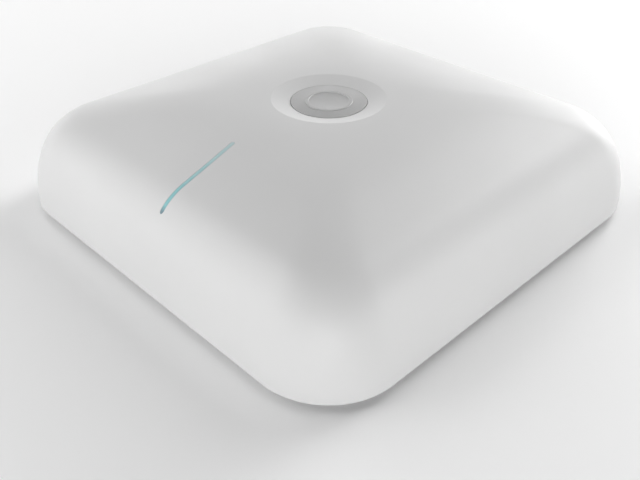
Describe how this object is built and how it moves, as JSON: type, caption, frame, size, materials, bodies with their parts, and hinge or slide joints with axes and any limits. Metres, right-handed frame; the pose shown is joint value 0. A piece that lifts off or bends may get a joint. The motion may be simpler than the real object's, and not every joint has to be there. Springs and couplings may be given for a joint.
{
  "type": "ceiling access point",
  "caption": "Square ceiling wireless access point with a soft domed white cover, a round dish with a badge, a slim light strip and a twist-lock steel bracket.",
  "frame": {"origin": "centre of the bracket's ceiling face, at the bottom centre of the object's box", "axes": "+Z from the ceiling out through the dome, the light strip runs towards -Y, the sockets open towards +Y in the cable bay"},
  "size_m": [0.18, 0.18, 0.0433],
  "materials": {
    "adhesive_clear": "adhesive film",
    "antenna_tin": "tin plated",
    "badge_silver": "satin silver lacquer",
    "board_green": "solder mask",
    "board_white": "white solder mask",
    "bracket_steel": "galvanised sheet",
    "button_grey": "moulded",
    "cable_white": "PVC sleeve",
    "can_tin": "tin plate",
    "capacitor_can": "sleeved can",
    "cast_aluminium": "die-cast",
    "chip_black": "moulded epoxy",
    "coax_black": "fluoropolymer sleeve",
    "component_tan": "sintered",
    "connector_cream": "moulded nylon",
    "contact_gold": "gold flash",
    "cover_white": "fine moulded texture, satin",
    "foam_black": "closed-cell foam",
    "insert_brass": "knurled brass",
    "jack_black": "moulded nylon",
    "jack_tin": "nickel plate",
    "label_silver": "coated label stock",
    "led_lens": "clear epoxy",
    "pad_grey": "silicone pad",
    "pin_nickel": "nickel plate",
    "pipe_frosted": "frosted",
    "rivet_aluminium": "bright",
    "screw_steel": "zinc plated",
    "sheet_aluminium": "rolled sheet",
    "spring_steel": "spring steel",
    "tray_white": "moulded, matt",
    "winding_core": "ferrite"
  },
  "bodies": {
    "bracket": {"mounting_bracket": "bracket_steel", "detent_spring": "spring_steel", "detent_rivets": "rivet_aluminium"},
    "access_point": {"antenna_1": "antenna_tin", "antenna_2": "antenna_tin", "antenna_3": "antenna_tin", "antenna_4": "antenna_tin", "antenna_plate": "sheet_aluminium", "back_cover": "tray_white", "badge_adhesive": "adhesive_clear", "badge_disc": "badge_silver", "board_capacitors": "capacitor_can", "board_screws": "screw_steel", "coax_cable_1": "coax_black", "coax_cable_2": "coax_black", "coax_cable_3": "coax_black", "coax_cable_4": "coax_black", "coax_plugs": "insert_brass", "cover_inserts": "insert_brass", "cover_screws": "screw_steel", "heat_spreader": "cast_aluminium", "light_board": "board_white", "light_board_screws": "screw_steel", "light_cable": "cable_white", "light_connectors": "connector_cream", "light_pipe": "pipe_frosted", "light_shroud": "foam_black", "main_board": "board_green", "memory_chips": "chip_black", "network_jack_contacts": "contact_gold", "network_jack_insert": "jack_black", "network_jack_shell": "jack_tin", "network_transformer": "chip_black", "plate_screws": "screw_steel", "power_inductor": "winding_core", "power_jack": "jack_black", "power_jack_pin": "pin_nickel", "power_transformer": "winding_core", "processor_chip": "chip_black", "radio_chips": "chip_black", "rating_label": "label_silver", "shield_can_1": "can_tin", "shield_can_2": "can_tin", "shield_can_3": "can_tin", "small_components": "component_tan", "spreader_screws": "screw_steel", "status_leds": "led_lens", "tact_switch": "jack_black", "thermal_pads": "pad_grey", "top_cover": "cover_white"},
    "reset_plunger": {"reset_button": "button_grey"}
  },
  "joints": [
    {"name": "twist_lock", "type": "hinge", "parent": "bracket", "child": "access_point", "pos_m": [0, 0, 0], "axis": [0, 0, 1], "range_deg": [0, 28], "deforming": ["detent_spring"]},
    {"name": "reset_press", "type": "slide", "parent": "access_point", "child": "reset_plunger", "axis": [0, -1, 0], "range_m": [0, 0.0005], "stiffness_N_per_m": 800, "springref_m": -0.001}
  ]
}
